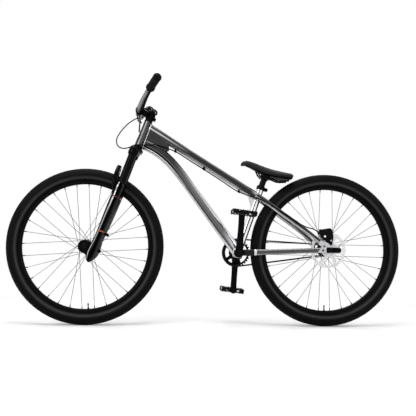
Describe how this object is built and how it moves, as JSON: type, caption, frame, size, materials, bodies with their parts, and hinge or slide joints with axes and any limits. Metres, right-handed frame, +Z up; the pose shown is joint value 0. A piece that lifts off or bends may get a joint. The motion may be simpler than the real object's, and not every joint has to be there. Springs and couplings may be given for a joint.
{
  "type": "dirt jump bike",
  "caption": "Single-speed dirt jump bicycle with a suspension fork, smooth fat tyres, a low sloping frame, a short saddle, flat pedals and a rear disc brake",
  "frame": {"origin": "centre of the bounding box on the ground, under the middle of the wheelbase", "axes": "+X to the rear, -Y to the left side that the picture shows, +Z up"},
  "size_m": [1.724, 0.742, 1.0124],
  "materials": {
    "frame_alloy": "brushed raw aluminium under a clear gloss coat",
    "gloss_black": "gloss black",
    "anodised_black": "satin black anodised",
    "tyre": "matt black with a fine tread",
    "rubber": "soft matt black",
    "steel": "brushed steel",
    "chain_steel": "dark plated steel",
    "pedal_plastic": "satin black plastic",
    "hose_plastic": "black plastic",
    "saddle_cover": "black synthetic cover",
    "base_plastic": "black plastic"
  },
  "bodies": {
    "frame": {"front_triangle": "frame_alloy", "rear_stays_left": "frame_alloy", "rear_stays_right": "frame_alloy", "seat_clamp": "gloss_black", "seat_clamp_bolt": "steel", "headset_lower_cup": "gloss_black", "headset_upper_cup": "gloss_black", "bottom_bracket": "gloss_black", "rear_axle": "steel", "axle_block_left": "gloss_black", "axle_block_right": "gloss_black", "brake_calliper": "gloss_black", "brake_hose": "hose_plastic", "hose_clip_1": "hose_plastic", "hose_clip_2": "hose_plastic", "hose_clip_3": "hose_plastic", "chain": "chain_steel"},
    "steering": {"fork_crown": "gloss_black", "stanchion_left": "anodised_black", "stanchion_right": "anodised_black", "top_cap": "gloss_black", "stem": "gloss_black", "stem_faceplate": "gloss_black", "handlebar": "anodised_black", "grip_left": "rubber", "grip_right": "rubber", "brake_lever_body": "gloss_black", "brake_hose_loop": "hose_plastic"},
    "brake_lever": {"brake_lever_blade": "anodised_black"},
    "lowers": {"fork_lowers": "gloss_black", "wiper_left": "rubber", "wiper_right": "rubber", "front_axle": "gloss_black"},
    "front_wheel": {"front_tyre": "tyre", "front_rim": "anodised_black", "front_spokes_left": "steel", "front_spokes_right": "steel", "front_hub": "anodised_black", "front_valve": "anodised_black"},
    "rear_wheel": {"rear_tyre": "tyre", "rear_rim": "anodised_black", "rear_spokes_left": "steel", "rear_spokes_right": "steel", "rear_hub": "anodised_black", "rear_valve": "anodised_black", "rear_brake_rotor": "steel"},
    "rear_cog": {"rear_cog": "steel"},
    "crank": {"crank_spindle": "steel", "crank_arm_left": "gloss_black", "crank_arm_right": "gloss_black", "chainring": "gloss_black", "pedal_axle_left": "steel", "pedal_axle_right": "steel"},
    "pedal_left": {"pedal_left": "pedal_plastic"},
    "pedal_right": {"pedal_right": "pedal_plastic"},
    "seatpost": {"seatpost": "anodised_black", "saddle_clamp": "anodised_black", "saddle_rails": "steel", "saddle_base": "base_plastic", "saddle_pad": "saddle_cover"}
  },
  "joints": [
    {"name": "steering", "type": "hinge", "parent": "frame", "child": "steering", "pos_m": [-0.47061, 0, 0.31628], "axis": [0.3354, 0, 0.9421], "range_deg": [-75, 75], "deforming": ["brake_hose_loop"]},
    {"name": "fork_travel", "type": "slide", "parent": "steering", "child": "lowers", "axis": [0.3354, 0, 0.9421], "range_m": [0, 0.1], "stiffness_N_per_m": 4000, "springref_m": -0.03},
    {"name": "front_wheel_spin", "type": "hinge", "parent": "lowers", "child": "front_wheel", "pos_m": [-0.526, 0, 0.336], "axis": [0, 1, 0], "continuous": true},
    {"name": "rear_wheel_spin", "type": "hinge", "parent": "frame", "child": "rear_wheel", "pos_m": [0.526, 0, 0.336], "axis": [0, 1, 0], "continuous": true},
    {"name": "crank_spin", "type": "hinge", "parent": "frame", "child": "crank", "pos_m": [0.134, 0, 0.318], "axis": [0, 1, 0], "continuous": true},
    {"name": "rear_cog_spin", "type": "hinge", "parent": "frame", "child": "rear_cog", "pos_m": [0.526, 0, 0.336], "axis": [0, 1, 0], "continuous": true},
    {"name": "pedal_left_spin", "type": "hinge", "parent": "crank", "child": "pedal_left", "pos_m": [0.1408, -0.1305, 0.48786], "axis": [0, 1, 0], "continuous": true},
    {"name": "pedal_right_spin", "type": "hinge", "parent": "crank", "child": "pedal_right", "pos_m": [0.1272, 0.1305, 0.14814], "axis": [0, 1, 0], "continuous": true},
    {"name": "brake_lever", "type": "hinge", "parent": "steering", "child": "brake_lever", "pos_m": [-0.30407, 0.2206, 0.9232], "axis": [0.7164, 0, -0.6976], "range_deg": [0, 20], "stiffness_Nm_per_rad": 0.3},
    {"name": "seatpost_height", "type": "slide", "parent": "frame", "child": "seatpost", "axis": [0.3223, 0, 0.9466], "range_m": [-0.01, 0.06]}
  ],
  "couplings": [
    {"joint": "rear_cog_spin", "follows": "crank_spin", "ratio": 2.5}
  ]
}
